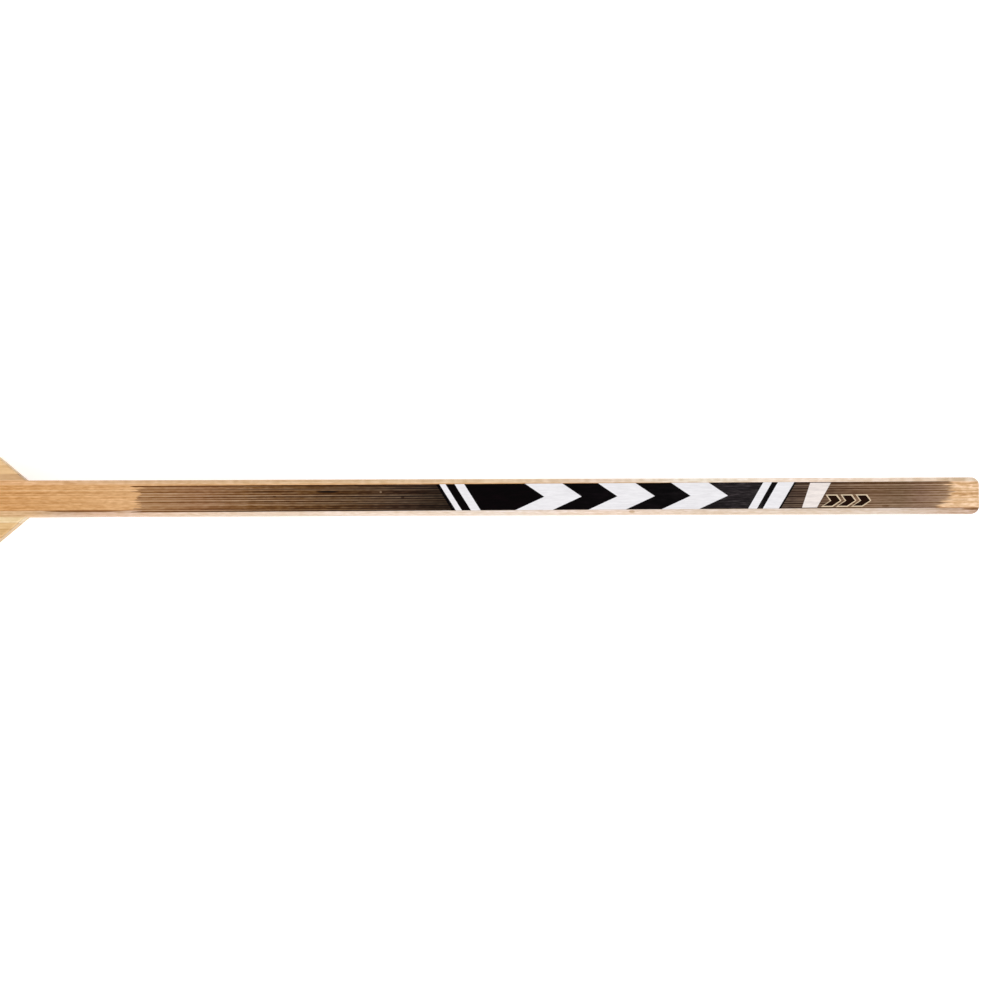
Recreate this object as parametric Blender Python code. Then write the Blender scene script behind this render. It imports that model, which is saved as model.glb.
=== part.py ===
"""A goalkeeper's ice hockey stick of laminated wood, lying on its back face.

The whole outline is first made as one blank, its edges rounded and its faces tapered and bowed, as a
stick is shaped after it has been glued up. The blank is then sawn along the glue lines into the plies
and boards it is built from.

Plan coordinates: x runs from the heel along the handle towards its butt end, y across it towards the
heel side, and the blade leaves on the other side, towards -y. +z comes out of the front face.
Everything hangs on one empty, which puts the stick's middle over the world's origin.
"""

import math

import bmesh
import bpy
from mathutils import Vector

MM = 0.001

# Handle and shaft core
HANDLE_LENGTH = 790 * MM  # from the paddle's shoulder to the butt end
SHAFT_THICKNESS = 20.5 * MM
PLY_PITCHES = [pitch * MM for pitch in (3.9, 4.8, 4.6, 3.8, 3.6, 4.7, 5.1)]  # from the heel side
HANDLE_EDGE_RADIUS = 4.4 * MM
EDGE_RUN_OUT = 110 * MM  # where the handle's rounding dies away towards the shoulders
END_EDGE_RADIUS = 1.6 * MM
BUTT_CORNER_RADIUS = 6 * MM
EDGE_STEPS = 8

# Paddle
PADDLE_LENGTH = 660 * MM  # from the heel to the top of the shoulders
PADDLE_WIDTH = 89 * MM
SHOULDER_RUN = 35 * MM  # length of the slope from the shaft's width to the paddle's
SHOULDER_FILLET = 4 * MM
PADDLE_CORNER_RADIUS = 12 * MM
PADDLE_EDGE_RADIUS = 2 * MM  # on the blade too
STRIP_WIDTH = 5 * MM  # the narrow strip glued to each side of the shaft
INNER_BOARD_WIDTH = 12 * MM

# Blade
LIE = 14  # lie 5 is 135 degrees between handle and blade, and each step closes it by 2
BLADE_ANGLE = math.radians(135 - 2 * (LIE - 5))
BLADE_LENGTH = 385 * MM
BLADE_HEIGHT = 89 * MM
BLADE_JOINT_HEIGHT = 95 * MM  # glue line between the blade and the paddle's boards, above the sole
BLADE_BOARD_HEIGHTS = (31 * MM, 62 * MM)
HEEL_RADIUS = 12 * MM
THROAT_RADIUS = 45 * MM  # inner corner between the blade's top edge and the paddle
ROCKER_START = 307 * MM
ROCKER_RADIUS = 1500 * MM
TOE_LIFT = 5 * MM
TOE_SLANT = 13 * MM
TOE_DROP = 3 * MM
TOE_SOLE_RADIUS = 28 * MM
TOE_TOP_RADIUS = 32 * MM
ARC_STEP = math.radians(7.5)

# Faces: how far the front face falls below the handle's, and how far the toe is bowed forwards
TAPER_END = 100 * MM
TAPER_DROP = 3 * MM
STRIP_DROP = 0.4 * MM
INNER_BOARD_DROP = 1.6 * MM
PADDLE_EDGE_DROP = 3.2 * MM
TOE_THINNING = 4.3 * MM
BOW_START = 130 * MM
BOW_HEIGHT = 16 * MM
BOW_STEPS = 18

# Glass cloth, laid into a relief of its own depth on each face
CLOTH_THICKNESS = 0.5 * MM
CLOTH_TOP = 250 * MM
CLOTH_INSET = 3 * MM
RELIEF_RAMP = (255 * MM, 285 * MM)

# Tongue of the blade and the slot it is glued into
TONGUE_THICKNESS = 6 * MM

GLUE_GAP = 0.3 * MM  # each ply's pitch holds the ply and one of these
MERGE_DISTANCE = 0.001 * MM
SMOOTH_ANGLE = math.radians(35)
CUTTER_REACH = 0.3  # past every side of the wood that a cutter passes through

ALONG = Vector((1, 0, 0))
ACROSS = Vector((0, 1, 0))
SHAFT_AXIS = Vector((0, 0, 0))
BLADE_DIRECTION = Vector((math.cos(BLADE_ANGLE), -math.sin(BLADE_ANGLE)))
BLADE_UP = Vector((math.sin(BLADE_ANGLE), math.cos(BLADE_ANGLE)))
HEEL = Vector((0.0, PADDLE_WIDTH / 2))
OVERALL_LENGTH = PADDLE_LENGTH + HANDLE_LENGTH
SHAFT_SEAM = sum(PLY_PITCHES) / 2
STRIP_SEAM = SHAFT_SEAM + STRIP_WIDTH
BOARD_SEAM = STRIP_SEAM + INNER_BOARD_WIDTH
RELIEF = GLUE_GAP + CLOTH_THICKNESS

MATERIALS = {
    "birch": ((0.72, 0.47, 0.25, 1.0), 0.45),
    "aspen": ((0.80, 0.58, 0.33, 1.0), 0.5),
    "glass_cloth": ((0.74, 0.66, 0.50, 1.0), 0.35),
}


def clear_scene():
    for obj in list(bpy.data.objects):
        bpy.data.objects.remove(obj, do_unlink=True)


def make_materials():
    made = {}
    for name, (colour, roughness) in MATERIALS.items():
        material = bpy.data.materials.new(name)
        material.use_nodes = True
        shader = material.node_tree.nodes["Principled BSDF"]
        shader.inputs["Base Color"].default_value = colour
        shader.inputs["Roughness"].default_value = roughness
        shader.inputs["Metallic"].default_value = 0.0
        made[name] = material
    return made


# ---------------------------------------------------------------- outline


def blade_point(along, up):
    """A plan point given by its place along the blade from the heel, and its height above the sole."""
    return HEEL + BLADE_DIRECTION * along + BLADE_UP * up


def throat_corner():
    """Where the blade's top edge meets the paddle's toe side."""
    y = -PADDLE_WIDTH / 2
    x = (BLADE_HEIGHT - (y - HEEL.y) * BLADE_UP.y) / BLADE_UP.x
    return Vector((x, y))


def outline_corners():
    """The outline's corners, anticlockwise from the butt end, each with the radius that rounds it.

    A radius of 0 marks a point on a straight side, where the rounding of its edges changes.
    """
    shaft, paddle = SHAFT_SEAM, PADDLE_WIDTH / 2
    shoulder = PADDLE_LENGTH - SHOULDER_RUN
    run_out = PADDLE_LENGTH + EDGE_RUN_OUT
    return [
        (Vector((OVERALL_LENGTH, shaft)), BUTT_CORNER_RADIUS),
        (Vector((run_out, shaft)), 0),
        (Vector((PADDLE_LENGTH, shaft)), SHOULDER_FILLET),
        (Vector((shoulder, paddle)), PADDLE_CORNER_RADIUS),
        (HEEL, HEEL_RADIUS),
        (blade_point(ROCKER_START, 0), ROCKER_RADIUS),
        (blade_point(BLADE_LENGTH, TOE_LIFT), TOE_SOLE_RADIUS),
        (blade_point(BLADE_LENGTH - TOE_SLANT, BLADE_HEIGHT - TOE_DROP), TOE_TOP_RADIUS),
        (throat_corner(), THROAT_RADIUS),
        (Vector((shoulder, -paddle)), PADDLE_CORNER_RADIUS),
        (Vector((PADDLE_LENGTH, -shaft)), SHOULDER_FILLET),
        (Vector((run_out, -shaft)), 0),
        (Vector((OVERALL_LENGTH, -shaft)), BUTT_CORNER_RADIUS),
    ]


def rounded_corner(before, corner, after, radius):
    """Points along a corner's arc, each with the outline's outward normal there."""
    back = (before - corner).normalized()
    ahead = (after - corner).normalized()
    if radius == 0:
        return [(corner, Vector((ahead.y, -ahead.x)))]
    half = back.angle(ahead) / 2
    centre = corner + (back + ahead).normalized() * (radius / math.sin(half))
    start = corner + back * (radius / math.tan(half)) - centre
    turn = math.pi - 2 * half
    convex = back.x * ahead.y - back.y * ahead.x < 0
    steps = max(3, math.ceil(turn / ARC_STEP))
    points = []
    for i in range(steps + 1):
        angle = turn * i / steps * (1 if convex else -1)
        spoke = Vector(
            (
                start.x * math.cos(angle) - start.y * math.sin(angle),
                start.x * math.sin(angle) + start.y * math.cos(angle),
            )
        )
        outward = spoke.normalized() * (1 if convex else -1)
        points.append((centre + spoke, outward))
    return points


def outline():
    corners = outline_corners()
    points = []
    for i, (corner, radius) in enumerate(corners):
        before = corners[i - 1][0]
        after = corners[(i + 1) % len(corners)][0]
        points += rounded_corner(before, corner, after, radius)
    return points


# ---------------------------------------------------------------- faces


def along_steps(value, steps):
    """Straight lines through (place, height) steps, level before the first and after the last."""
    for (x0, z0), (x1, z1) in zip(steps, steps[1:]):
        if value <= x0:
            return z0
        if value < x1:
            return z0 + (z1 - z0) * (value - x0) / (x1 - x0)
    return steps[-1][1]


def taper(x):
    return along_steps(x, [(TAPER_END, TAPER_DROP), (PADDLE_LENGTH - SHOULDER_RUN, 0)])


def relief(x):
    return along_steps(x, [(RELIEF_RAMP[0], RELIEF), (RELIEF_RAMP[1], 0)])


def crown(y):
    """How far the front face falls from the shaft out to the paddle's edges, and on to the toe."""
    edge = PADDLE_WIDTH / 2
    steps = [
        (SHAFT_SEAM, 0),
        (STRIP_SEAM, STRIP_DROP),
        (BOARD_SEAM, INNER_BOARD_DROP),
        (edge, PADDLE_EDGE_DROP),
    ]
    toe = -blade_point(BLADE_LENGTH, 0).y
    if y < 0:
        steps.append((toe, PADDLE_EDGE_DROP + TOE_THINNING))
    return along_steps(abs(y), steps)


def bow_stations():
    return [
        BOW_START + (BLADE_LENGTH - BOW_START) * i / BOW_STEPS
        for i in range(BOW_STEPS + 1)
    ]


def bow(place):
    """The blade's forward curve, in straight steps that the blank is cut along."""
    along = (Vector((place.x, place.y)) - HEEL).dot(BLADE_DIRECTION)
    span = BLADE_LENGTH - BOW_START
    steps = [(s, BOW_HEIGHT * ((s - BOW_START) / span) ** 2) for s in bow_stations()]
    return along_steps(along, steps)


def back_face(place):
    return relief(place.x) + bow(place)


def front_face(place):
    fall = taper(place.x) + relief(place.x) + crown(place.y)
    return SHAFT_THICKNESS - fall + bow(place)


def face_creases():
    """The planes, as point and normal, along which the faces change slope."""
    edge = PADDLE_WIDTH / 2
    across = [SHAFT_SEAM, STRIP_SEAM, BOARD_SEAM, edge]
    planes = [(ACROSS * y * side, ACROSS) for y in across for side in (-1, 1)]
    lengths = [TAPER_END, PADDLE_LENGTH - SHOULDER_RUN, *RELIEF_RAMP]
    planes += [(ALONG * x, ALONG) for x in lengths]
    direction = BLADE_DIRECTION.to_3d()
    planes += [(blade_point(s, 0).to_3d(), direction) for s in bow_stations()[:-1]]
    return planes


# ---------------------------------------------------------------- blanks


def edge_radius(place, outward):
    """Rounding between a face and the side: full along the handle, slight elsewhere."""
    along = along_steps(
        place.x,
        [(PADDLE_LENGTH, PADDLE_EDGE_RADIUS), (PADDLE_LENGTH + EDGE_RUN_OUT, HANDLE_EDGE_RADIUS)],
    )
    if place.x < OVERALL_LENGTH - BUTT_CORNER_RADIUS - MERGE_DISTANCE:
        return along
    return END_EDGE_RADIUS + (along - END_EDGE_RADIUS) * abs(outward.y)


def rounded_levels(place, outward):
    """(inset, height) at each ring of the blank for one point, from its back face to its front."""
    radius = edge_radius(place, outward)
    lower = []
    for i in range(EDGE_STEPS + 1):
        angle = math.pi / 2 * i / EDGE_STEPS
        lower.append((radius * (1 - math.sin(angle)), radius * (1 - math.cos(angle))))
    upper = [(inset, SHAFT_THICKNESS - z) for inset, z in reversed(lower)]
    return lower + upper


def cloth_levels(place, outward):
    return [(CLOTH_INSET, GLUE_GAP), (CLOTH_INSET, GLUE_GAP + CLOTH_THICKNESS)]


def stack_rings(levels):
    """A closed solid whose sides run through the outline, inset and raised as its levels say."""
    bm = bmesh.new()
    columns = []
    for place, outward in outline():
        column = []
        for inset, z in levels(place, outward):
            inner = place - outward * inset
            column.append(bm.verts.new((inner.x, inner.y, z)))
        columns.append(column)
    for i, column in enumerate(columns):
        beside = columns[(i + 1) % len(columns)]
        for k in range(len(column) - 1):
            bm.faces.new((column[k], beside[k], beside[k + 1], column[k + 1]))
    rings = list(zip(*columns))
    bm.faces.new(reversed(rings[0]))
    bm.faces.new(rings[-1])
    return bm


def bisect(bm, point, normal, keep_behind=False):
    geometry = bm.verts[:] + bm.edges[:] + bm.faces[:]
    bmesh.ops.bisect_plane(
        bm,
        geom=geometry,
        dist=MERGE_DISTANCE,
        plane_co=point,
        plane_no=normal,
        clear_outer=keep_behind,
    )


def crease(bm):
    for point, normal in face_creases():
        bisect(bm, point, normal)


def wood_blank():
    """The shaped stick before it is sawn up."""
    bm = stack_rings(rounded_levels)
    crease(bm)
    for vert in bm.verts:
        back, front = back_face(vert.co), front_face(vert.co)
        vert.co.z = back + (front - back) * vert.co.z / SHAFT_THICKNESS
    return bm


def cloth_blank(face, outwards):
    """A sheet over one face, a glue gap off it; outwards is 1 at the front and -1 at the back."""
    bm = stack_rings(cloth_levels)
    crease(bm)
    for vert in bm.verts:
        vert.co.z = face(vert.co) + outwards * vert.co.z
    return bm


def saw(bm, point, normal):
    """Cuts off what lies beyond a plane and closes the cut."""
    bisect(bm, point, normal, keep_behind=True)
    rim = [edge for edge in bm.edges if edge.is_boundary]
    bmesh.ops.holes_fill(bm, edges=rim, sides=0)


def saw_between(bm, origin, normal, low, high):
    """Keeps what lies between two parallel saw cuts, half a glue gap short of each glue line."""
    if high is not None:
        saw(bm, origin + normal * (high - GLUE_GAP / 2), normal)
    if low is not None:
        saw(bm, origin + normal * (low + GLUE_GAP / 2), -normal)


# ---------------------------------------------------------------- parts


def add_object(name, bm, material, stick):
    bmesh.ops.dissolve_degenerate(bm, dist=MERGE_DISTANCE, edges=bm.edges[:])
    bmesh.ops.recalc_face_normals(bm, faces=bm.faces[:])
    mesh = bpy.data.meshes.new(name)
    bm.to_mesh(mesh)
    bm.free()
    mesh.materials.append(material)
    mesh.shade_smooth()
    mesh.set_sharp_from_angle(angle=SMOOTH_ANGLE)
    obj = bpy.data.objects.new(name, mesh)
    obj.parent = stick
    bpy.context.scene.collection.objects.link(obj)
    return obj


def add_cutter(name, low, high, stick):
    """A hidden box between two corners, whose x and y lie along the blade and up it."""
    bm = bmesh.new()
    bmesh.ops.create_cube(bm, size=1.0)
    for vert in bm.verts:
        vert.co = [b if side > 0 else a for a, b, side in zip(low, high, vert.co)]
    mesh = bpy.data.meshes.new(name)
    bm.to_mesh(mesh)
    bm.free()
    obj = bpy.data.objects.new(name, mesh)
    obj.parent = stick
    obj.hide_render = True
    obj.display_type = "WIRE"
    bpy.context.scene.collection.objects.link(obj)
    return obj


def cut(obj, cutter):
    modifier = obj.modifiers.new(cutter.name, "BOOLEAN")
    modifier.operation = "DIFFERENCE"
    modifier.solver = "EXACT"
    modifier.object = cutter


def tongue_range(spare):
    """The tongue's lowest and highest z, in the middle of the wood at the heel."""
    place = Vector((0.0, 0.0, 0.0))
    middle = (back_face(place) + front_face(place)) / 2
    half = TONGUE_THICKNESS / 2 + spare
    return middle - half, middle + half


def make_slot_cutter(stick):
    """The fork in the shaft's lower end that the tongue is glued into, square to the blade."""
    low_z, high_z = tongue_range(GLUE_GAP)
    low = (-CUTTER_REACH, -CUTTER_REACH, low_z)
    high = (CUTTER_REACH, BLADE_JOINT_HEIGHT + GLUE_GAP / 2, high_z)
    cutter = add_cutter("slot_cutter", low, high, stick)
    cutter.location = HEEL.to_3d()
    cutter.rotation_euler.z = math.atan2(BLADE_DIRECTION.y, BLADE_DIRECTION.x)
    return cutter


def make_cheek_cutters(stick):
    """What leaves only the tongue of the blade's boards, where they enter the shaft."""
    low_z, high_z = tongue_range(0)
    shoulder = -(SHAFT_SEAM + GLUE_GAP / 2)
    far = CUTTER_REACH
    back = add_cutter("back_cheek_cutter", (-far, shoulder, -far), (far, far, low_z), stick)
    front = add_cutter("front_cheek_cutter", (-far, shoulder, high_z), (far, far, far), stick)
    return back, front


def make_shaft(blank, materials, stick):
    """Plies from the butt end to the sole, numbered from the heel side."""
    slot = make_slot_cutter(stick)
    high = SHAFT_SEAM
    for i, pitch in enumerate(PLY_PITCHES):
        bm = blank.copy()
        saw_between(bm, SHAFT_AXIS, ACROSS, high - pitch, high)
        wood = materials["birch" if i % 2 == 0 else "aspen"]
        ply = add_object(f"shaft_ply_{i + 1}", bm, wood, stick)
        cut(ply, slot)
        high -= pitch


def make_paddle_side(blank, name, side, materials, stick):
    """The strip and two boards glued to one side of the shaft, side being 1 at the heel side."""
    seams = [SHAFT_SEAM, STRIP_SEAM, BOARD_SEAM, None]
    boards = [("strip", "birch"), ("inner_board", "aspen"), ("outer_board", "aspen")]
    for (board, wood), near, far in zip(boards, seams, seams[1:]):
        bm = blank.copy()
        saw_between(bm, SHAFT_AXIS, ACROSS * side, near, far)
        if side < 0:
            saw_between(bm, HEEL.to_3d(), BLADE_UP.to_3d(), BLADE_JOINT_HEIGHT, None)
        add_object(f"paddle_{name}_{board}", bm, materials[wood], stick)


def make_blade(blank, materials, stick):
    """Three boards along the blade, each with its share of the tongue."""
    cheeks = make_cheek_cutters(stick)
    limits = [None, *BLADE_BOARD_HEIGHTS, BLADE_JOINT_HEIGHT]
    names = ["lower", "middle", "upper"]
    for name, low, high in zip(names, limits, limits[1:]):
        bm = blank.copy()
        saw_between(bm, HEEL.to_3d(), BLADE_UP.to_3d(), low, high)
        saw_between(bm, SHAFT_AXIS, ACROSS, None, SHAFT_SEAM)
        board = add_object(f"blade_{name}_board", bm, materials["aspen"], stick)
        for cheek in cheeks:
            cut(board, cheek)


def make_cloths(materials, stick):
    faces = [("front", front_face, 1), ("back", back_face, -1)]
    for name, face, outwards in faces:
        bm = cloth_blank(face, outwards)
        saw(bm, ALONG * CLOTH_TOP, ALONG)
        add_object(f"{name}_glass_cloth", bm, materials["glass_cloth"], stick)


def centre_over_origin(stick):
    places = [point for point, _ in outline()]
    xs = [p.x for p in places]
    ys = [p.y for p in places]
    stick.location = (-(min(xs) + max(xs)) / 2, -(min(ys) + max(ys)) / 2, 0)


def main():
    clear_scene()
    materials = make_materials()
    stick = bpy.data.objects.new("stick", None)
    bpy.context.scene.collection.objects.link(stick)
    blank = wood_blank()
    make_shaft(blank, materials, stick)
    make_paddle_side(blank, "heel_side", 1, materials, stick)
    make_paddle_side(blank, "toe_side", -1, materials, stick)
    make_blade(blank, materials, stick)
    blank.free()
    make_cloths(materials, stick)
    centre_over_origin(stick)


main()
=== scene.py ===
import math

import bmesh
import bpy
from mathutils import Euler, Matrix, Vector


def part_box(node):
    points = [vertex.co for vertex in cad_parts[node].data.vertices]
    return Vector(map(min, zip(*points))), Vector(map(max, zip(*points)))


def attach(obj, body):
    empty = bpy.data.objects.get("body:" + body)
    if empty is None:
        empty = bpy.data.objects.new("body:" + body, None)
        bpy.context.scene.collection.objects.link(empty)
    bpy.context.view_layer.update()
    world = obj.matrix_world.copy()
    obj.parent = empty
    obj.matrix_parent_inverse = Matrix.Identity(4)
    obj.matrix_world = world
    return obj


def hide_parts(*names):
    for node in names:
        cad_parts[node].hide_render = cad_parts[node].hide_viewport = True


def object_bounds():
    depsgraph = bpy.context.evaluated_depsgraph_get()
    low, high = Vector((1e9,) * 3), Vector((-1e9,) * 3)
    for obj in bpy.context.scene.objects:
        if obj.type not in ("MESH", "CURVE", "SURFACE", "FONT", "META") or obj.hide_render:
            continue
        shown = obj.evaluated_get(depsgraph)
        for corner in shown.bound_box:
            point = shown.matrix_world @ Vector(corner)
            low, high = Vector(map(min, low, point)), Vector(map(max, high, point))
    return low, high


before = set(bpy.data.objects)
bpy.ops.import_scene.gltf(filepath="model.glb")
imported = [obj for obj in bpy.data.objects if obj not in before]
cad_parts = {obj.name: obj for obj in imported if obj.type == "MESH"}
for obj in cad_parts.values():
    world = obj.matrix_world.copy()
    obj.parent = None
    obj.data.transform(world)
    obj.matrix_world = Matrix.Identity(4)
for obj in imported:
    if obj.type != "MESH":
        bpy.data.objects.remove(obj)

CAD_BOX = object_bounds()
MM = 0.001

# The handle as the frame has it. Places along it are counted in mm back from the butt end.
SHAFT_PLIES = [f"shaft_ply_{i}" for i in range(1, 8)]
BLADE_BOARDS = ["blade_lower_board", "blade_middle_board", "blade_upper_board"]
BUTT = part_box(SHAFT_PLIES[3])[1].x
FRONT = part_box(SHAFT_PLIES[3])[1].z
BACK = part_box(SHAFT_PLIES[3])[0].z
HEEL_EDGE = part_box(SHAFT_PLIES[0])[1].y
TOE_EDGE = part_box(SHAFT_PLIES[-1])[0].y
SHAFT_LINE = (HEEL_EDGE + TOE_EDGE) / 2
HEELWARD = Vector((0, 1, 0))
TOEWARD = Vector((0, -1, 0))
BLADE_ANGLE = math.radians(117)
BLADE_UP = Vector((math.sin(BLADE_ANGLE), math.cos(BLADE_ANGLE), 0))
GLUE_GAP = 0.3 * MM

# The printed and stained band on the shaft's front and back
BAND_TOP = HEEL_EDGE - 3.9 * MM
BAND_BOTTOM = TOE_EDGE + 4.4 * MM
BAND_HEIGHT = BAND_TOP - BAND_BOTTOM
BAND_TILT = 0.0024  # it runs a little askew, towards the toe side as it leaves the butt end
BAND_PIVOT = 250 * MM  # how far back from the butt end the heights above hold
BAND_BLUR = 0.05 * MM
STAIN_START = 702 * MM
TEETH = 15 * MM  # how far the stain's first streaks vary
COMB_IN_TEETH = 0.55
GRAIN_IN_TEETH = 0.45
START_BLUR = 1.2 * MM
STAIN_END = 24 * MM
END_SLANT = 13 * MM  # how much sooner it ends along the band's lower edge
END_STEEPNESS = 6.0
GRAIN_AT_END = 5 * MM
STREAKS_AT_END = 7 * MM
END_BLUR = (-3 * MM, 4 * MM)
# The print, in mm back from the butt end. Each slanted shape is given by where its two sides meet
# the band's top edge, and then its bottom edge.
PRINT_THICKNESS = 0.06 * MM
PRINT_SINK = 0.03 * MM
BLACK_PANEL = (151.5, 450.4, 164.6, 436.9)
WHITE_STRIPES = [
    (442.4, 447.5, 428.8, 433.8),
    (426.9, 434.9, 413.3, 421.3),
    (171.7, 178.9, 184.4, 191.7),
    (153.2, 166.8, 166.3, 179.6),
]
WEDGE = (122.5, 139.8, 135.0, 147.2)
WEDGE_HEIGHTS = (0.03, 0.97)
LARGE_TIPS = [329.5, 268.9, 208.3]
LARGE_ARROW = {"stroke": 31.0, "depth": 20.0, "lean": 8.0}
SMALL_TIPS = [89.5, 101.9, 114.3]
SMALL_RIM = {"stroke": 9.6, "depth": 5.5, "lean": 4.0, "low": 0.05, "high": 0.52}
SMALL_HEART = {"stroke": 7.2, "depth": 5.0, "lean": 3.6, "low": 0.09, "high": 0.48}
HEART_INSET = 1.2

# Mesh clean-up
WELD = 0.001 * MM
FLAT_ENOUGH = math.radians(0.05)
SMOOTH_ANGLE = math.radians(35)
SAME_WAY = 0.9998

# The studio. Colours below are stated as they look under this light.
LIGHT_LEVEL = 1.2
WORLD_STRENGTH = 1.6
SKY = [(0.0, 0.35), (0.3, 0.8), (0.45, 1.0), (0.7, 1.0), (0.84, 0.08), (1.0, 0.02)]  # horizon to top
SOFTBOX_SIZE = (2.2, 0.8)
SOFTBOX_POWER = 22.0
SOFTBOX_PLACE = Vector((BUTT - 0.5, -1.5, 1.0))
FLOOR_SIZE = 14.0
FLOOR_CELLS = 24
FLOOR_TONES = [(0.93, 0.93, 0.93, 1.0), (0.96, 0.96, 0.96, 1.0)]
FLOOR_GLOW = 0.45
FLOOR_DROP = 0.25 * MM
VIEW_WIDTH = 0.8286
VIEW_CENTRE = Vector((BUTT - 397.2 * MM, SHAFT_LINE - 2.6 * MM, FRONT))
VIEW_TILT = math.radians(3.0)
VIEW_ROLL = math.radians(0.2)
LENS = 100.0
SENSOR = 36.0
FAR_CLIP = 50.0

# Wood and cloth
RAMP_REACH = 830.0  # tones along the handle are given up to this many mm from the butt end
RING_WIDTH = 7 * MM  # a year's growth in the boards
END_RING_WIDTH = 1.8 * MM  # and in the plies
PADDLE_PITH_DEPTH = -60 * MM  # heights of the boards' piths, which lie below the stick
BLADE_PITH_DEPTH = -70 * MM
CORE_PITH_DEPTH = -90 * MM
RING_BEND = 9.0  # how far noise moves the rings, in years
RING_WAVER = 0.9
LATE_WOOD = (0.45, 0.93)  # where in a year the dark wood starts and is darkest
ROW_WIDTH = 1.02 * MM
ROW_BEND = 0.7  # how far noise moves the rows, in rows
ROW_WAVER = 0.15
ROW_SPREAD = 7.31  # how far apart two neighbouring rows read their noise
WOOD_FINISH = {"coat": 0.04, "coat_roughness": 0.25, "specular": 0.2}
WOOD_ROUGHNESS = (0.36, 0.48)
GRAIN_RELIEF = 0.03 * MM
SEAM_BLUR = 0.9 * MM
CLOTH_ROUGHNESS = (0.36, 0.46)
WEAVE_PITCH = 2.4 * MM
WEAVE_RELIEF = 0.06 * MM
INK_RELIEF = 0.01 * MM
NOISE_LOW = 0.36  # most of a noise texture's values lie from this
NOISE_HIGH = 0.64  # to this
REDDER_WHEN_DARK = (1.0, 1.4, 2.1)  # shares of red, green and blue
EVEN_WHEN_DARK = (1.0, 1.03, 1.0)
# Painted shade greys surfaces that turn away from the stick's front and back, by this colour
SIDE_SHADE_GREY = (0.62, 0.64, 0.68, 1.0)
SIDE_TURN = (0.35, 0.95)  # how flat a surface lies where its painted shade is full, and where there is none
END_TURN = (0.75, 0.95)  # how far a surface turns towards an end where end grain sets in


def colour(red, green, blue):
    """The surface colour that looks like these 0-255 values under this scene's light."""
    linear = []
    for value in (red, green, blue):
        v = value / 255
        v = v / 12.92 if v <= 0.04045 else ((v + 0.055) / 1.055) ** 2.4
        linear.append(v / LIGHT_LEVEL)
    return (*linear, 1.0)


# ---------------------------------------------------------------- node helpers


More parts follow.
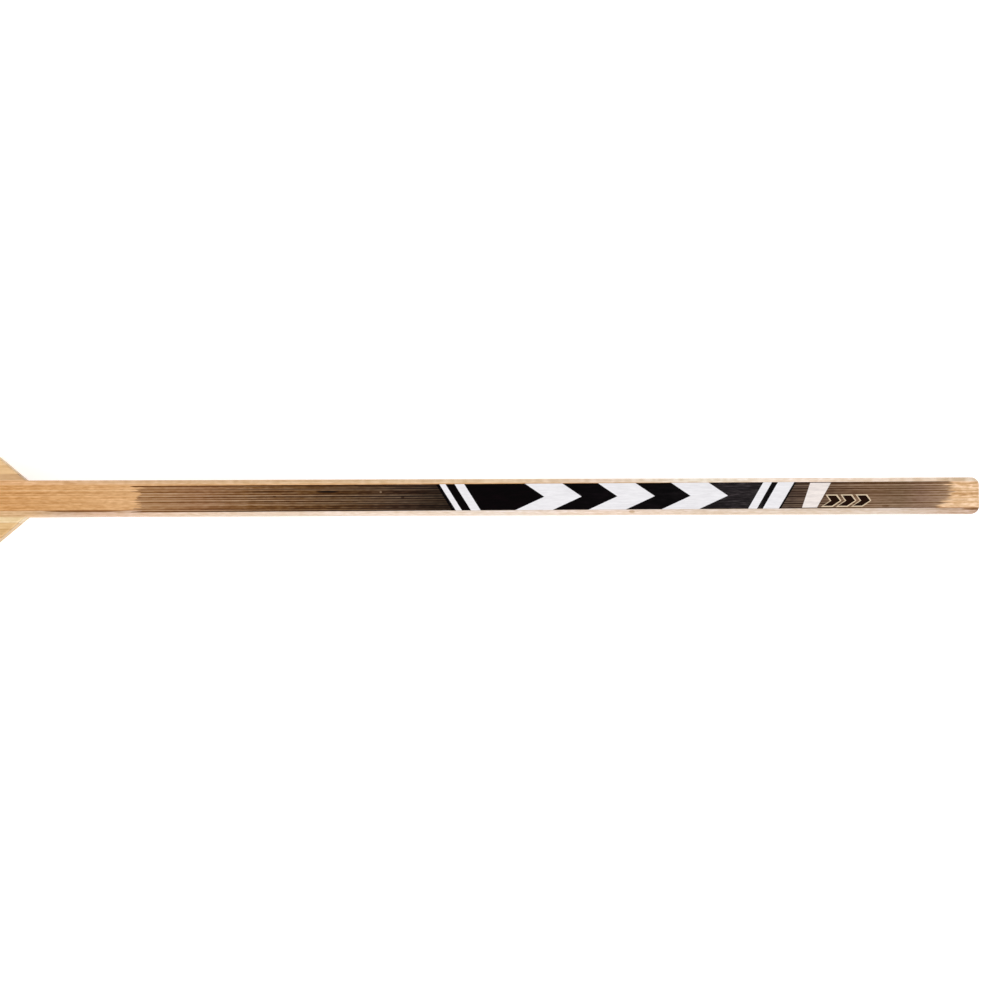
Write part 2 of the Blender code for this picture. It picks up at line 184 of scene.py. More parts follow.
class Shader:
    """A material whose nodes are added by short calls that return their output socket."""

    def __init__(self, name, specular, roughness=0.45, coat=0.0, coat_roughness=0.3):
        self.material = bpy.data.materials.new(name)
        self.material.use_nodes = True
        self.tree = self.material.node_tree
        self.surface = self.tree.nodes["Principled BSDF"]
        self.surface.inputs["Roughness"].default_value = roughness
        self.surface.inputs["Coat Weight"].default_value = coat
        self.surface.inputs["Coat Roughness"].default_value = coat_roughness
        self.surface.inputs["Specular IOR Level"].default_value = specular
        coordinates = self.tree.nodes.new("ShaderNodeTexCoord")
        self.place = coordinates.outputs["Object"]
        self.x, self.y, self.z = self.split(self.place)
        askew = (1.0, (BUTT - BAND_PIVOT) * BAND_TILT)
        self.level = self.total((self.y, 1.0), (self.x, -BAND_TILT), askew)
        self.facing = self.split(coordinates.outputs["Normal"])

    def split(self, vector):
        return self.node("ShaderNodeSeparateXYZ", {0: vector}).outputs

    def node(self, kind, inputs=None, **settings):
        node = self.tree.nodes.new(kind)
        for name, value in settings.items():
            setattr(node, name, value)
        for key, value in (inputs or {}).items():
            self.feed(node.inputs[key], value)
        return node

    def feed(self, socket, value):
        if isinstance(value, bpy.types.NodeSocket):
            self.tree.links.new(value, socket)
        else:
            socket.default_value = value

    def math(self, operation, a, b=0.0):
        return self.node("ShaderNodeMath", {0: a, 1: b}, operation=operation).outputs[0]

    def multiply(self, a, b):
        return self.math("MULTIPLY", a, b)

    def total(self, *terms):
        """The sum of each value times its weight."""
        result = 0.0
        for value, weight in terms:
            inputs = {0: value, 1: weight, 2: result}
            result = self.node("ShaderNodeMath", inputs, operation="MULTIPLY_ADD").outputs[0]
        return result

    def remap(self, value, low, high, to_low=0.0, to_high=1.0, smooth=False):
        inputs = {0: value, 1: low, 2: high, 3: to_low, 4: to_high}
        kind = "SMOOTHSTEP" if smooth else "LINEAR"
        return self.node("ShaderNodeMapRange", inputs, interpolation_type=kind).outputs[0]

    def swing(self, noise):
        """Noise stretched to run from -0.5 to 0.5."""
        return self.remap(noise, NOISE_LOW, NOISE_HIGH, -0.5, 0.5)

    def layered(self, layers, weights, *more):
        """The sum of named layers by their weights, and of further (value, weight) pairs."""
        return self.total(*[(layers[name], weight) for name, weight in weights.items()], *more)

    def mix(self, factor, a, b, blend="MIX"):
        node = self.node("ShaderNodeMix", data_type="RGBA", blend_type=blend)
        self.feed(node.inputs["Factor"], factor)
        self.feed(node.inputs[6], a)
        self.feed(node.inputs[7], b)
        return node.outputs[2]

    def turned(self, turn):
        """Object coordinates turned about z."""
        inputs = {"Vector": self.place, "Rotation": (0.0, 0.0, turn)}
        return self.node("ShaderNodeMapping", inputs).outputs[0]

    def noise(self, scale, offset=(0.0, 0.0, 0.0), detail=2.0, rough=0.5, turn=0.0):
        """Noise with its own scale on each axis, which stretches it along the grain."""
        place = self.turned(turn) if turn else self.place
        stretch = {"Vector": place, "Scale": scale, "Location": offset}
        inputs = {
            "Vector": self.node("ShaderNodeMapping", stretch).outputs[0],
            "Scale": 1.0,
            "Detail": detail,
            "Roughness": rough,
        }
        return self.node("ShaderNodeTexNoise", inputs).outputs["Fac"]

    def ramp(self, factor, stops):
        node = self.node("ShaderNodeValToRGB", {"Fac": factor})
        elements = node.color_ramp.elements
        while len(elements) < len(stops):
            elements.new(1.0)
        for element, (position, value) in zip(elements, stops):
            element.position = position
            element.color = value
        return node.outputs["Color"]

    def handle_ramp(self, stops):
        """A ramp along the handle, from (mm back from the butt end, colour)."""
        place = self.remap(self.x, BUTT, BUTT - RAMP_REACH * MM)
        return self.ramp(place, [(back / RAMP_REACH, value) for back, value in stops])

    def along(self, stops):
        """A colour that changes along the handle, from (mm back from the butt end, colour as seen)."""
        return self.handle_ramp([(back, colour(*tone)) for back, tone in stops])

    def level_along(self, stops):
        """A number that changes along the handle, from (mm back from the butt end, number up to 1)."""
        return self.handle_ramp([(back, (n, n, n, 1.0)) for back, n in stops])

    def edge(self, level, width):
        """1 at a place across the shaft, falling to 0 over a width, which may be negative."""
        return self.remap(self.y, level, level + width, 1.0, 0.0, smooth=True)

    def bump(self, height, distance, strength=1.0):
        inputs = {"Height": height, "Distance": distance, "Strength": strength}
        self.feed(self.surface.inputs["Normal"], self.node("ShaderNodeBump", inputs).outputs[0])

    def finish(self, base, roughness=None):
        self.feed(self.surface.inputs["Base Color"], base)
        if roughness is not None:
            self.feed(self.surface.inputs["Roughness"], roughness)
        return self.material


# ---------------------------------------------------------------- wood


# How each layer of grain is stretched: its scale along it, across it and in depth
GRAIN_SCALES = {
    "lines": (1.5, 700, 700),
    "hairs": (20, 1300, 1300),
    "clouds": (3.5, 120, 120),
    "flecks": (150, 620, 620),
}


def grain(shader, seed, turn=0.0):
    """Layers of grain along x before the turn, each around 0."""
    offset = (seed * 3.7, seed * 1.3, seed * 2.1)
    layers = {}
    for name, scale in GRAIN_SCALES.items():
        finer = {"detail": 1.0} if name == "clouds" else {"detail": 2.0, "rough": 0.6}
        layers[name] = shader.swing(shader.noise(scale, offset, turn=turn, **finer))
    return layers


def rows(shader, hairs):
    """Thin crisp rows across the shaft's faces and down its sides, each with levels of its own.

    The layers are an alternation from row to row, one that drifts slowly along x, and one in short
    dashes. All are around 0.
    """
    unevenness = shader.noise((0, 230, 230))
    per_row = 1 / ROW_WIDTH
    place = shader.total(
        (shader.level, per_row),
        (shader.z, per_row),
        (unevenness, ROW_BEND),
        (hairs, ROW_WAVER),
    )
    number = shader.math("FLOOR", place)
    layers = {"alternation": shader.total((shader.math("FLOORED_MODULO", number, 2.0), 1.0), (1.0, -0.5))}
    for name, quickness in (("drift", 2.5), ("dashes", 150.0)):
        parts = {0: shader.multiply(shader.x, quickness), 1: shader.multiply(number, ROW_SPREAD)}
        sampled = shader.node("ShaderNodeCombineXYZ", parts).outputs[0]
        inputs = {"Vector": sampled, "Scale": 1.0, "Detail": 1.0}
        layers[name] = shader.swing(shader.node("ShaderNodeTexNoise", inputs).outputs["Fac"])
    return layers


def shaded(shader, tone, depth, shares=REDDER_WHEN_DARK):
    """A tone lit up or darkened by a number around 0, in shares for red, green and blue."""
    channels = [shader.math("EXPONENT", shader.multiply(depth, share)) for share in shares]
    tint = shader.node("ShaderNodeCombineColor", dict(enumerate(channels)))
    return shader.mix(1.0, tone, tint.outputs[0], blend="MULTIPLY")


def paint_side_shade(shader, base, strength):
    """Painted shade: greys a piece where its surface turns away from the stick's front and back."""
    flatness = shader.math("ABSOLUTE", shader.facing[2])
    side = shader.remap(flatness, *SIDE_TURN, strength, 0.0, smooth=True)
    return shader.mix(side, base, SIDE_SHADE_GREY, blend="MULTIPLY")


def rings(shader, seed, pith, turn=0.0, width=RING_WIDTH):
    """1 in a board's late wood: growth rings around a pith given across the grain and in depth."""
    place = shader.split(shader.turned(turn))
    across = shader.total((place[1], 1.0), (1.0, -pith[0]))
    depth = shader.total((place[2], 1.0), (1.0, -pith[1]))
    squared = shader.total((across, across), (depth, depth))
    radius = shader.math("SQRT", squared)
    bend = shader.noise((2.4, 16, 16), (seed, 0, 0), detail=1.5, turn=turn)
    waver = shader.noise((9, 60, 60), (0, seed, 0), detail=1.0, turn=turn)
    years = shader.total((radius, 1 / width), (bend, RING_BEND), (waver, RING_WAVER))
    season = shader.math("FRACT", years)
    late = shader.remap(season, *LATE_WOOD, smooth=True)
    stop = shader.remap(season, LATE_WOOD[1], 1.0, 1.0, 0.0)
    return shader.multiply(late, stop)


def mark(shader, back, across, length, width):
    """1 inside a small soft oval on the shaft, placed in mm from the butt end and the heel edge."""
    x, half_length = BUTT - back * MM, length / 2 * MM
    y, half_width = HEEL_EDGE - across * MM, width / 2 * MM
    along = shader.remap(shader.x, x - half_length, x + half_length, -1.0, 1.0)
    over = shader.remap(shader.y, y - half_width, y + half_width, -1.0, 1.0)
    apart = shader.total((along, along), (over, over))
    return shader.remap(apart, 0.3, 1.0, 1.0, 0.0, smooth=True)


# Knots, resin streaks and specks: mm back from the butt end, mm from the heel edge, length, width,
# and how much darker they are, or lighter where the last number is above 0
MARKS = [
    (540.0, 10.4, 22.0, 1.7, -2.2),
    (586.0, 10.3, 50.0, 1.6, -0.6),
    (584.0, 14.2, 4.0, 1.5, -0.7),
    (478.0, 15.2, 3.5, 2.2, -0.6),
    (496.0, 10.8, 2.6, 1.8, 1.6),
    (288.0, 27.6, 6.0, 2.6, -0.35),
    (754.0, 2.8, 14.0, 3.0, -0.2),
    (78.0, 23.7, 7.0, 2.8, -0.6),
    (5.0, 26.4, 22.0, 2.0, -0.8),
    (10.0, 14.0, 34.0, 1.5, -0.45),
    (742.0, 25.7, 76.0, 1.9, -1.15),
]


# ---------------------------------------------------------------- the stain


STAIN_TONES = [
    (0.0, (206, 170, 132)),
    (12.0, (186, 151, 120)),
    (22.0, (162, 131, 105)),
    (32.0, (157, 127, 103)),
    (48.0, (138, 108, 89)),
    (64.0, (126, 100, 77)),
    (90.0, (129, 100, 78)),
    (110.0, (114, 87, 67)),
    (130.0, (96, 73, 59)),
    (147.0, (75, 56, 47)),
    (165.0, (62, 48, 43)),
    (176.0, (46, 38, 37)),
    (434.0, (39, 24, 12)),
    (453.0, (46, 30, 16)),
    (480.0, (62, 39, 23)),
    (521.0, (88, 60, 32)),
    (563.0, (108, 73, 37)),
    (604.0, (125, 85, 45)),
    (646.0, (149, 105, 69)),
    (688.0, (167, 124, 83)),
    (720.0, (170, 126, 86)),
]

# How strongly dark grain shows in the stain, as a share of the strongest, and how much of the pale
# wood light grain lets through
DARK_SHOWN = [
    (0.0, 0.34),
    (64.0, 0.36),
    (110.0, 0.42),
    (147.0, 0.56),
    (436.0, 0.9),
    (480.0, 0.95),
    (521.0, 0.7),
    (563.0, 0.6),
    (604.0, 0.56),
    (646.0, 0.34),
    (720.0, 0.28),
]
STRONGEST_DARK = 2.4
PALE_SHOWN = [
    (0.0, 0.19),
    (64.0, 0.17),
    (110.0, 0.17),
    (147.0, 0.12),
    (434.0, 0.045),
    (453.0, 0.055),
    (480.0, 0.12),
    (521.0, 0.155),
    (563.0, 0.21),
    (604.0, 0.31),
    (646.0, 0.27),
    (720.0, 0.25),
]
PALE_THROUGH_STAIN = (255, 222, 185)


def stain_mask(shader, streaky):
    """1 where the shaft is stained: it starts in uneven teeth and ends in slanted, feathered streaks.

    A layer of grain around 0 shifts where it starts and ends.
    """
    comb = shader.remap(shader.noise((0, 800, 0), detail=1.5), NOISE_LOW, NOISE_HIGH)
    start = shader.total(
        (comb, COMB_IN_TEETH * TEETH),
        (streaky, GRAIN_IN_TEETH * TEETH),
        (1.0, BUTT - STAIN_START),
    )
    started = shader.remap(shader.total((shader.x, 1.0), (start, -1.0)), 0.0, START_BLUR, smooth=True)
    lowness = shader.remap(shader.level, BAND_TOP, BAND_BOTTOM)
    slant = shader.math("POWER", lowness, END_STEEPNESS)
    streaks = shader.swing(shader.noise((55, 900, 0), (5, 3, 0), detail=3.0))
    end = shader.total(
        (1.0, BUTT - STAIN_END),
        (slant, -END_SLANT),
        (streaky, -GRAIN_AT_END),
        (streaks, -STREAKS_AT_END),
    )
    left = shader.total((end, 1.0), (shader.x, -1.0))
    not_ended = shader.remap(left, *END_BLUR, smooth=True)
    return shader.multiply(started, not_ended)


def band_mask(shader):
    """1 between the printed band's edges."""
    below = shader.remap(shader.level, BAND_TOP + BAND_BLUR, BAND_TOP - BAND_BLUR)
    above = shader.remap(shader.level, BAND_BOTTOM - BAND_BLUR, BAND_BOTTOM + BAND_BLUR)
    return shader.multiply(below, above)


# Each line's edge of the band, the way inwards from it, where the line starts and ends in mm, and
# how much darker it is
BAND_LINES = [
    (BAND_TOP, -1, 0.0, 0.9, -1.6),
    (BAND_BOTTOM, 1, 0.0, 0.9, -1.4),
    (BAND_BOTTOM, 1, 1.1, 1.9, 0.7),
]


def band_edges(shader):
    """Dark lines along the band's two edges, with a pale one beside the lower."""
    edges = []
    for edge, inwards, start, end, depth in BAND_LINES:
        near = shader.remap(shader.level, *[edge + inwards * (start + s) * MM for s in (-0.2, 0.2)])
        far = shader.remap(shader.level, *[edge + inwards * (end + s) * MM for s in (0.2, -0.2)])
        edges.append((shader.multiply(near, far), depth))
    return edges


def stained_tone(shader, depth):
    """The stain along the shaft, darker where depth is below 0 and letting wood through above 0."""
    strength = shader.multiply(shader.level_along(DARK_SHOWN), STRONGEST_DARK)
    darker = shader.multiply(shader.math("MINIMUM", depth, 0.0), strength)
    tone = shaded(shader, shader.along(STAIN_TONES), darker)
    paler = shader.multiply(shader.math("MAXIMUM", depth, 0.0), shader.level_along(PALE_SHOWN))
    return shader.mix(paler, tone, colour(*PALE_THROUGH_STAIN))


# How strongly each layer of grain shows
BARE_PLY = {
    "alternation": 0.2,
    "drift": 0.17,
    "dashes": 0.35,
    "lines": 0.15,
    "hairs": 0.3,
    "clouds": 0.12,
}
STAINED_PLY = {"alternation": 0.9, "drift": 0.9, "dashes": 0.4, "lines": 0.25, "hairs": 0.4}
SAWN_BOARD = {"lines": 0.09, "hairs": 0.12, "clouds": 0.1, "flecks": 0.1}
UNDER_CLOTH = {"lines": 0.12, "clouds": 0.1, "flecks": 0.08}
INNER_FLECKS = 0.35
OUTER_FLECKS = 0.1

# Shares along the handle, from the butt end: of all the grain in bare wood, of the seams in the stain,
# and how light the glue lines are in it
LIVELINESS = [(0.0, 0.75), (22.0, 0.75), (45.0, 0.45), (RAMP_REACH, 0.45)]
SEAM_STRENGTH = [(0.0, 0.4), (130.0, 0.4), (200.0, 1.0), (RAMP_REACH, 1.0)]
GLUE_LIFT = [(0.0, 0.1), (130.0, 0.1), (200.0, 0.5), (RAMP_REACH, 0.5)]


def is_outer(node):
    return node in (SHAFT_PLIES[0], SHAFT_PLIES[-1])


def ply_seams(shader, node):
    """Where a ply meets its neighbours: a light line on its heel side and a dark one on its toe side.

    Each is given with its weight under the stain and its weight in bare wood. The third ply's light
    line is beside the pale glue line, and shows most.
    """
    if is_outer(node):
        return []
    low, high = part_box(node)[0].y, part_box(node)[1].y
    light_weight = 0.7 if node == SHAFT_PLIES[2] else 0.1
    return [
        (shader.edge(high, -SEAM_BLUR), 0.5, light_weight),
        (shader.edge(low, SEAM_BLUR), -0.5, -0.1),
    ]


def ply_marks(shader, node):
    """The marks on a ply, or within a millimetre of it, with how much darker they are."""
    low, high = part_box(node)[0].y - 1 * MM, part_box(node)[1].y + 1 * MM
    return [
        (mark(shader, back, across, length, width), depth)
        for back, across, length, width, depth in MARKS
        if low < HEEL_EDGE - across * MM < high
    ]


def ply_pith(node, seed):
    """A place for the middle of a ply's growth rings, outside it and different from ply to ply."""
    side = 1 if seed % 3 else -1
    apart = (16 + 9 * seed % 23) * MM
    height = (seed % 4 - 2.5) * 14 * MM
    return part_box(node)[0].y + side * apart, height


def bare_ply(shader, tone, layers, flecks, seams, marks):
    """Bare wood along a ply's sides, with painted shade where they turn away from the front and back."""
    bare_seams = [(line, weight) for line, _, weight in seams]
    depth = shader.layered(layers, BARE_PLY, (layers["flecks"], flecks), *bare_seams)
    depth = shader.total((depth, shader.level_along(LIVELINESS)), *marks)
    return paint_side_shade(shader, shaded(shader, tone, depth), 0.45)


def end_grain(shader, tone, hairs, seed, pith):
    """Bare wood on a ply's sawn end."""
    end_rings = rings(shader, seed, pith, width=END_RING_WIDTH)
    return shaded(shader, tone, shader.total((end_rings, -0.35), (hairs, 0.3), (1.0, -0.12)))


def stained_ply(shader, layers, seams, marks):
    strength = shader.level_along(SEAM_STRENGTH)
    stained_seams = [(shader.multiply(line, strength), weight) for line, weight, _ in seams]
    more = [*stained_seams, *band_edges(shader), *marks]
    return stained_tone(shader, shader.layered(layers, STAINED_PLY, *more))


def shaft_wood(node, tones, seed):
    """A ply of the shaft: bare wood, and the brown stain that deepens towards the black panel."""
    shader = Shader(f"{node}_material", **WOOD_FINISH)
    layers = grain(shader, seed)
    hairs = layers["hairs"]
    layers.update(rows(shader, hairs))
    tone = shader.along(tones)
    seams = ply_seams(shader, node)
    marks = ply_marks(shader, node)
    sides = bare_ply(shader, tone, layers, OUTER_FLECKS if is_outer(node) else INNER_FLECKS, seams, marks)
    end = end_grain(shader, tone, hairs, seed, ply_pith(node, seed))
    at_end = shader.remap(shader.math("ABSOLUTE", shader.facing[0]), *END_TURN)
    bare = shader.mix(at_end, sides, end)
    mask = shader.multiply(stain_mask(shader, layers["drift"]), band_mask(shader))
    shader.bump(layers["lines"], GRAIN_RELIEF)
    roughness = shader.remap(hairs, -0.5, 0.5, *WOOD_ROUGHNESS)
    return shader.finish(shader.mix(mask, bare, stained_ply(shader, layers, seams, marks)), roughness)


def board_wood(name, tone, seed, pith, turn=0.0):
    """A sawn board with its pith outside it."""
    shader = Shader(name, **WOOD_FINISH)
    layers = grain(shader, seed, turn)
    depth = shader.layered(layers, SAWN_BOARD, (rings(shader, seed, pith, turn), -0.18), (1.0, 0.06))
    # Painted shade greys the board's edges, where its surface turns away from the front and back
    base = paint_side_shade(shader, shaded(shader, colour(*tone), depth), 0.8)
    shader.bump(layers["lines"], GRAIN_RELIEF)
    return shader.finish(base, shader.remap(layers["hairs"], -0.5, 0.5, *WOOD_ROUGHNESS))


def glue_material(name, bare_tone):
    """A hard glue line, which takes only part of the stain."""
    shader = Shader(name, specular=0.3, roughness=0.35)
    spots = shader.remap(shader.noise((60, 900, 900), detail=2.0), 0.3, 0.7, -0.12, 0.12)
    bare = shaded(shader, colour(*bare_tone), spots)
    stained = stained_tone(shader, shader.total((shader.level_along(GLUE_LIFT), 1.0), (spots, 1.0)))
    mask = shader.multiply(stain_mask(shader, spots), band_mask(shader))
    return shader.finish(shader.mix(mask, bare, stained))


# ---------------------------------------------------------------- wood pieces


def mesh_of(node):
    """The node's solid as clean welded faces."""
    bm = bmesh.new()
    bm.from_mesh(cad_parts[node].data)
    bmesh.ops.remove_doubles(bm, verts=bm.verts[:], dist=WELD)
    bmesh.ops.dissolve_limit(bm, angle_limit=FLAT_ENOUGH, verts=bm.verts[:], edges=bm.edges[:])
    return bm


def add_piece(name, bm, material):
    bmesh.ops.recalc_face_normals(bm, faces=bm.faces[:])
    mesh = bpy.data.meshes.new(name)
    bm.to_mesh(mesh)
    bm.free()
    mesh.materials.append(material)
    mesh.shade_smooth()
    mesh.set_sharp_from_angle(angle=SMOOTH_ANGLE)
    obj = bpy.data.objects.new(name, mesh)
    bpy.context.scene.collection.objects.link(obj)
    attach(obj, "root")
    return obj


def add_wood(node, material):
    piece = add_piece(f"{node}_wood", mesh_of(node), material)
    weighted = piece.modifiers.new("flat faces stay flat", "WEIGHTED_NORMAL")
    weighted.keep_sharp = True
    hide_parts(node)


def add_glue(name, node, towards, material):
    """Fills the gap beside a node: its farthest faces that look one way, drawn out to a solid."""
    bm = mesh_of(node)
    bm.normal_update()
    nearest = max(towards.dot(vert.co) for vert in bm.verts) - GLUE_GAP
    unwanted = [
        face
        for face in bm.faces
        if face.normal.dot(towards) < SAME_WAY or towards.dot(face.calc_center_median()) < nearest
    ]
    bmesh.ops.delete(bm, geom=unwanted, context="FACES")
    grown = bmesh.ops.extrude_face_region(bm, geom=bm.faces[:], use_keep_orig=True)
    moved = [item for item in grown["geom"] if isinstance(item, bmesh.types.BMVert)]
    bmesh.ops.translate(bm, verts=moved, vec=towards * GLUE_GAP)
    add_piece(name, bm, material)


def inner_ply_tones(warmth):
    """The bare tones of a ply that is stained between its two ends."""
    stops = [
        (0.0, (233, 191, 147)),
        (28.0, (233, 191, 147)),
        (70.0, (224, 173, 122)),
        (700.0, (222, 172, 120)),
        (745.0, (217, 165, 110)),
        (RAMP_REACH, (211, 153, 93)),
    ]
    return [(back, tuple(value * warmth for value in tone)) for back, tone in stops]


# The outer plies' rounded edges are greyed by painted shade. These tones make up for it, and so some go
# past 255. Along the handle they also hold painted light and shade: lighter through the middle stretch,
# where the rounded edges catch the light, and the toe ply darker just before the shoulders, where they
# shade it.
HEEL_PLY_TONES = [
    (0.0, (240, 212, 181)),
    (64.0, (256, 231, 208)),
    (148.0, (267, 245, 226)),
    (231.0, (262, 248, 229)),
    (314.0, (247, 220, 196)),
    (397.0, (241, 208, 169)),
    (480.0, (231, 195, 152)),
    (563.0, (230, 192, 148)),
    (729.0, (232, 186, 140)),
    (RAMP_REACH, (230, 177, 126)),
]
TOE_PLY_TONES = [
    (0.0, (188, 154, 130)),
    (23.0, (192, 162, 138)),
    (64.0, (210, 190, 173)),
    (148.0, (214, 193, 173)),
    (231.0, (216, 194, 173)),
    (314.0, (224, 200, 181)),
    (397.0, (221, 203, 187)),
    (480.0, (225, 203, 184)),
    (563.0, (221, 198, 178)),
    (646.0, (214, 186, 160)),
    (729.0, (209, 172, 144)),
    (762.0, (201, 168, 139)),
    (786.0, (215, 175, 131)),
    (RAMP_REACH, (219, 174, 124)),
]


def make_shaft():
    warmths = (1.0, 0.99, 1.01, 0.985, 1.0)
    tones = [HEEL_PLY_TONES, *[inner_ply_tones(warmth) for warmth in warmths], TOE_PLY_TONES]
    for i, (node, ply_tones) in enumerate(zip(SHAFT_PLIES, tones)):
        add_wood(node, shaft_wood(node, ply_tones, i + 1.0))
    pale = glue_material("pale_glue_line", (236, 196, 148))
    plain = glue_material("plain_glue_line", (226, 178, 127))
    dark = glue_material("dark_glue_line", (176, 120, 76))
    glues = (plain, pale, plain, plain, plain, dark)
    for i, (node, glue) in enumerate(zip(SHAFT_PLIES, glues)):
        add_glue(f"shaft_glue_line_{i + 1}", node, TOEWARD, glue)


def make_paddle():
    heel_pith = SHAFT_LINE + 95 * MM
    toe_pith = SHAFT_LINE - 70 * MM
    boards = {
        "paddle_heel_side_strip": ((214, 172, 126), HEEL_EDGE + 40 * MM),
        "paddle_heel_side_inner_board": ((233, 191, 138), heel_pith),
        "paddle_heel_side_outer_board": ((243, 206, 151), heel_pith),
        "paddle_toe_side_strip": ((229, 198, 150), TOE_EDGE - 40 * MM),
        "paddle_toe_side_inner_board": ((218, 177, 122), toe_pith),
        "paddle_toe_side_outer_board": ((220, 179, 123), toe_pith),
    }
    seam = glue_material("shaft_seam_glue", (238, 204, 162))
    glue = glue_material("paddle_glue_line", (212, 168, 118))
    for i, (node, (tone, pith)) in enumerate(boards.items()):
        strip = node.endswith("strip")
        material = board_wood(f"{node}_material", tone, 11.0 + i, (pith, PADDLE_PITH_DEPTH))
        add_wood(node, material)
        inward = TOEWARD if "heel_side" in node else HEELWARD
        add_glue(f"{node}_glue_line", node, inward, seam if strip else glue)


def heights(node):
    """How far up the blade, square to its sole, each of a node's corners lies."""
    return [BLADE_UP.dot(vert.co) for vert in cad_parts[node].data.vertices]


def make_blade():
    """The boards' grain runs along the blade, so their pith is placed above its sole."""
    sole = min(heights("blade_lower_board"))
    tones = [(222, 184, 132), (230, 194, 142), (224, 187, 134)]
    piths_above_sole = [-55 * MM, 20 * MM, 150 * MM]
    glue = glue_material("blade_glue_line", (206, 160, 112))
    for i, (node, tone, above) in enumerate(zip(BLADE_BOARDS, tones, piths_above_sole)):
        pith = (sole + above, BLADE_PITH_DEPTH)
        material = board_wood(f"{node}_material", tone, 21.0 + i, pith, BLADE_ANGLE)
        add_wood(node, material)
        add_glue(f"{node}_glue_line", node, BLADE_UP, glue)


# ---------------------------------------------------------------- glass cloth


def wood_under_cloth(shader, tone, seed, pith, turn=0.0):
    layers = grain(shader, seed, turn)
    depth = shader.layered(layers, UNDER_CLOTH, (rings(shader, seed, pith, turn), -0.16), (1.0, 0.04))
    return shaded(shader, colour(*tone), depth)


def blade_under_cloth(shader, height):
    """The blade's boards, with the dark seams between them, from the height above its sole."""
    sole = min(heights("blade_lower_board"))
    pith = (sole + 20 * MM, BLADE_PITH_DEPTH)
    blade = wood_under_cloth(shader, (220, 185, 136), 32.0, pith, BLADE_ANGLE)
    for node in BLADE_BOARDS:
        seam = max(heights(node)) + GLUE_GAP / 2
        below = shader.remap(height, seam - 0.5 * MM, seam)
        above = shader.remap(height, seam + 0.5 * MM, seam)
        blade = shaded(shader, blade, shader.multiply(shader.multiply(below, above), -0.3))
    return blade


def cloth_material():
    """Woven glass in clear resin, with the shaft, the paddle's boards and the blade showing through."""
    shader = Shader("glass_cloth_in_resin", coat=0.06, coat_roughness=0.3, specular=0.25)
    paddle = wood_under_cloth(shader, (219, 184, 134), 31.0, (SHAFT_LINE + 95 * MM, PADDLE_PITH_DEPTH))
    core = wood_under_cloth(shader, (213, 172, 124), 33.0, (SHAFT_LINE + 60 * MM, CORE_PITH_DEPTH))
    height = shader.split(shader.turned(BLADE_ANGLE))[1]
    joint = max(heights(BLADE_BOARDS[-1]))
    below_joint = shader.remap(height, joint + GLUE_GAP, joint)
    off_toe_side = shader.remap(shader.y, TOE_EDGE - GLUE_GAP, TOE_EDGE)
    off_heel_side = shader.remap(shader.y, HEEL_EDGE + GLUE_GAP, HEEL_EDGE)
    base = shader.mix(below_joint, paddle, blade_under_cloth(shader, height))
    base = shader.mix(off_toe_side, base, core)
    base = shader.mix(off_heel_side, paddle, base)
    warp = shader.math("SINE", shader.multiply(shader.x, 2 * math.pi / WEAVE_PITCH))
    weft = shader.math("SINE", shader.multiply(shader.y, 2 * math.pi / WEAVE_PITCH))
    weave = shader.multiply(warp, weft)
    slack = shader.swing(shader.noise((260, 260, 0), (1, 2, 0)))
    veiled = shaded(shader, base, shader.total((weave, 0.06), (slack, 0.05)))
    shader.bump(weave, WEAVE_RELIEF, strength=0.5)
    roughness = shader.remap(slack, -0.5, 0.5, *CLOTH_ROUGHNESS)
    # Painted shade greys the cloth where it turns away from the front and back
    return shader.finish(paint_side_shade(shader, veiled, 0.4), roughness)


def make_cloths():
    material = cloth_material()
    for node in ("front_glass_cloth", "back_glass_cloth"):
        add_wood(node, material)


# ---------------------------------------------------------------- print


def even(tone):
    """The same tone all along the handle."""
    return [(0.0, tone), (RAMP_REACH, tone)]


def ink(name, tones, mottle):
    """Screen-printed ink, laid unevenly in short streaks along the grain."""
    shader = Shader(name, specular=0.1, roughness=0.38)
    streaks = shader.swing(shader.noise((90, 750, 750), detail=6.0, rough=0.7))
    shader.bump(streaks, INK_RELIEF)
    depth = shader.multiply(streaks, mottle)
    return shader.finish(shaded(shader, shader.along(tones), depth, EVEN_WHEN_DARK))


def add_print(name, outline, material, layers=1):
    """A thin solid for an outline of (mm back from the butt end, place across), on both faces."""
    for face, level, out in (("front", FRONT, 1), ("back", BACK, -1)):
        bm = bmesh.new()
        top = level + out * PRINT_THICKNESS * layers
        bottom = level - out * PRINT_SINK
        places = [(BUTT - back * MM, y + BAND_TILT * (BAND_PIVOT - back * MM)) for back, y in outline]
        inner = [bm.verts.new((x, y, bottom)) for x, y in places]
        outer = [bm.verts.new((x, y, top)) for x, y in places]
        for i in range(len(outline)):
            bm.faces.new((inner[i - 1], inner[i], outer[i], outer[i - 1]))
        bm.faces.new(inner)
        bm.faces.new(outer)
        add_piece(f"{name}_{face}", bm, material)


def slanted(top_near, top_far, bottom_near, bottom_far, low=0.0, high=1.0):
    """A four-sided stripe between two heights of the band, given by its ends on the band's edges."""

    def at(top, bottom, share):
        return bottom + (top - bottom) * share, BAND_BOTTOM + BAND_HEIGHT * share

    return [
        at(top_near, bottom_near, high),
        at(top_far, bottom_far, high),
        at(top_far, bottom_far, low),
        at(top_near, bottom_near, low),
    ]


def arrow(tip, stroke, depth, lean, low=0.0, high=1.0):
    """A broad arrowhead between two heights of the band, pointing towards the butt end.

    Its wings start depth behind its tip, and lean shifts its lower wing back and its upper forward.
    """
    bottom = BAND_BOTTOM + BAND_HEIGHT * low
    top = BAND_BOTTOM + BAND_HEIGHT * high
    return [
        (tip + depth - lean / 2, top),
        (tip, (top + bottom) / 2),
        (tip + depth + lean / 2, bottom),
        (tip + depth + stroke + lean / 2, bottom),
        (tip + stroke, (top + bottom) / 2),
        (tip + depth + stroke - lean / 2, top),
    ]


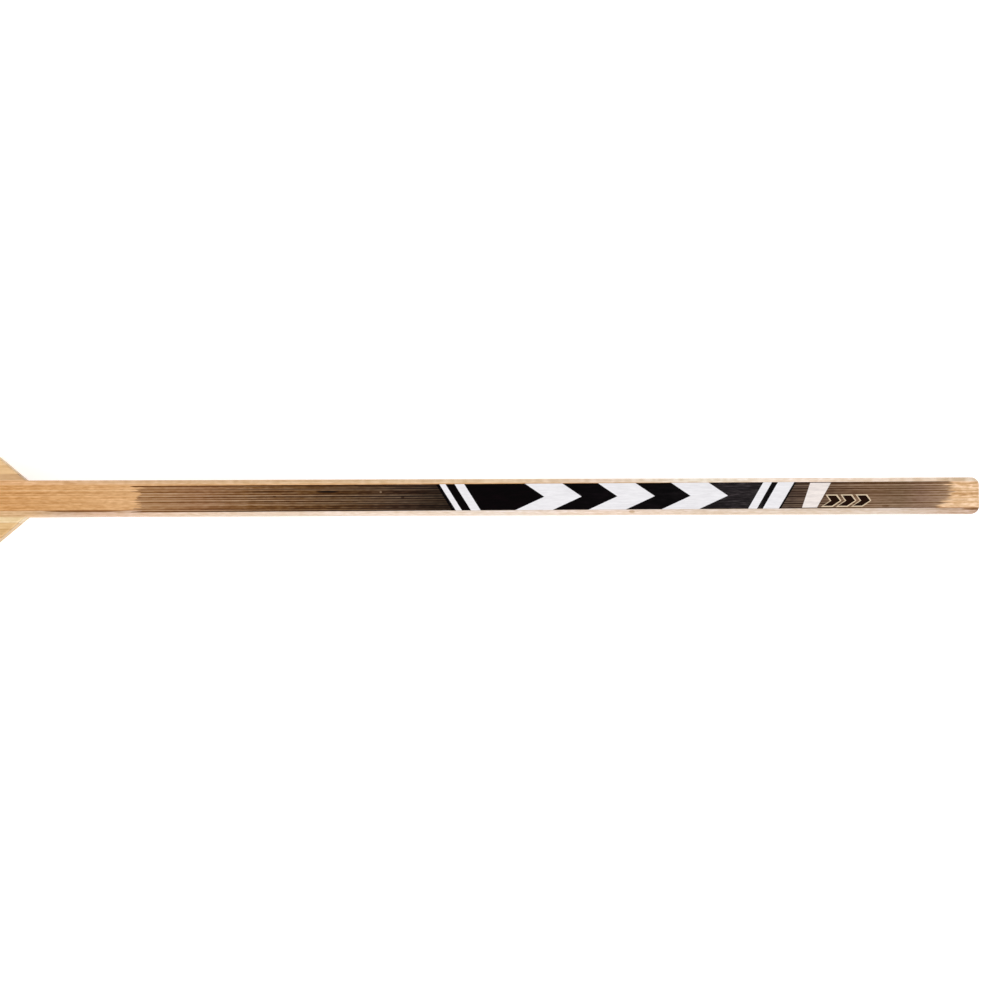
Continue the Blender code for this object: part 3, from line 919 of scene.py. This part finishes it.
# The black ink is worn thin and grey towards the butt end
BLACK_TONES = [
    (0.0, (12, 9, 10)),
    (178.0, (12, 9, 10)),
    (184.0, (41, 37, 38)),
    (206.0, (40, 35, 37)),
    (218.0, (30, 26, 27)),
    (234.0, (12, 9, 10)),
    (300.0, (7, 4, 6)),
    (370.0, (4, 1, 2)),
    (RAMP_REACH, (4, 1, 2)),
]


def make_print():
    black = ink("black_ink", BLACK_TONES, mottle=2.0)
    white = ink("white_ink", even((240, 238, 241)), mottle=0.14)
    rubbed = ink("rubbed_white_ink", even((241, 231, 226)), mottle=0.22)
    cream = ink("cream_ink", even((226, 204, 174)), mottle=0.2)
    brown = ink("brown_ink", even((34, 16, 8)), mottle=0.3)
    add_print("black_panel", slanted(*BLACK_PANEL), black)
    for i, ends in enumerate(WHITE_STRIPES):
        add_print(f"white_stripe_{i + 1}", slanted(*ends), white, layers=2)
    for i, tip in enumerate(LARGE_TIPS):
        add_print(f"white_arrow_{i + 1}", arrow(tip, **LARGE_ARROW), white, layers=2)
    add_print("rubbed_wedge", slanted(*WEDGE, *WEDGE_HEIGHTS), rubbed)
    for i, tip in enumerate(SMALL_TIPS):
        add_print(f"small_arrow_edge_{i + 1}", arrow(tip, **SMALL_RIM), cream)
        add_print(f"small_arrow_{i + 1}", arrow(tip + HEART_INSET, **SMALL_HEART), brown, layers=2)


# ---------------------------------------------------------------- studio


def make_floor():
    shader = Shader("pale_floor", specular=0.2, roughness=0.6)
    base = shader.mix(shader.noise((3, 3, 3), detail=3.0), *FLOOR_TONES)
    shader.surface.inputs["Emission Color"].default_value = (1.0, 1.0, 1.0, 1.0)
    shader.surface.inputs["Emission Strength"].default_value = FLOOR_GLOW
    bm = bmesh.new()
    bmesh.ops.create_grid(bm, x_segments=FLOOR_CELLS, y_segments=FLOOR_CELLS, size=FLOOR_SIZE)
    mesh = bpy.data.meshes.new("floor")
    bm.to_mesh(mesh)
    bm.free()
    mesh.materials.append(shader.finish(base))
    floor = bpy.data.objects.new("floor", mesh)
    floor.location.z = CAD_BOX[0].z - FLOOR_DROP
    bpy.context.scene.collection.objects.link(floor)


def make_light():
    """A pale tent of light all round, left dark overhead where the camera looks down from."""
    world = bpy.data.worlds.new("studio")
    bpy.context.scene.world = world
    world.use_nodes = True
    tree = world.node_tree
    background = tree.nodes["Background"]
    place = tree.nodes.new("ShaderNodeTexCoord")
    split = tree.nodes.new("ShaderNodeSeparateXYZ")
    ramp = tree.nodes.new("ShaderNodeValToRGB")
    tree.links.new(place.outputs["Generated"], split.inputs[0])
    tree.links.new(split.outputs["Z"], ramp.inputs["Fac"])
    tree.links.new(ramp.outputs["Color"], background.inputs["Color"])
    elements = ramp.color_ramp.elements
    while len(elements) < len(SKY):
        elements.new(1.0)
    for element, (position, level) in zip(elements, SKY):
        element.position = position
        element.color = (level, level, level, 1.0)
    background.inputs["Strength"].default_value = WORLD_STRENGTH
    light = bpy.data.lights.new("toe_side_softbox", "AREA")
    light.shape = "RECTANGLE"
    light.size, light.size_y = SOFTBOX_SIZE
    light.energy = SOFTBOX_POWER
    box = bpy.data.objects.new("toe_side_softbox", light)
    box.location = SOFTBOX_PLACE
    aim = Vector((SOFTBOX_PLACE.x, SHAFT_LINE, FRONT)) - SOFTBOX_PLACE
    box.rotation_euler = aim.to_track_quat("-Z", "Y").to_euler()
    bpy.context.scene.collection.objects.link(box)


def make_camera():
    """Straight down on the handle, from a little towards the toe side."""
    camera = bpy.data.cameras.new("camera")
    camera.lens = LENS
    camera.sensor_width = SENSOR
    camera.clip_end = FAR_CLIP
    obj = bpy.data.objects.new("camera", camera)
    turned = Euler((VIEW_TILT, 0, 0)).to_matrix() @ Matrix.Rotation(-VIEW_ROLL, 3, "Z")
    obj.matrix_world = turned.to_4x4()
    obj.location = VIEW_CENTRE + turned @ Vector((0, 0, VIEW_WIDTH * LENS / SENSOR))
    bpy.context.scene.collection.objects.link(obj)
    bpy.context.scene.camera = obj


make_shaft()
make_paddle()
make_blade()
make_cloths()
make_print()
make_floor()
make_light()
make_camera()
bpy.context.scene.view_settings.view_transform = "Standard"
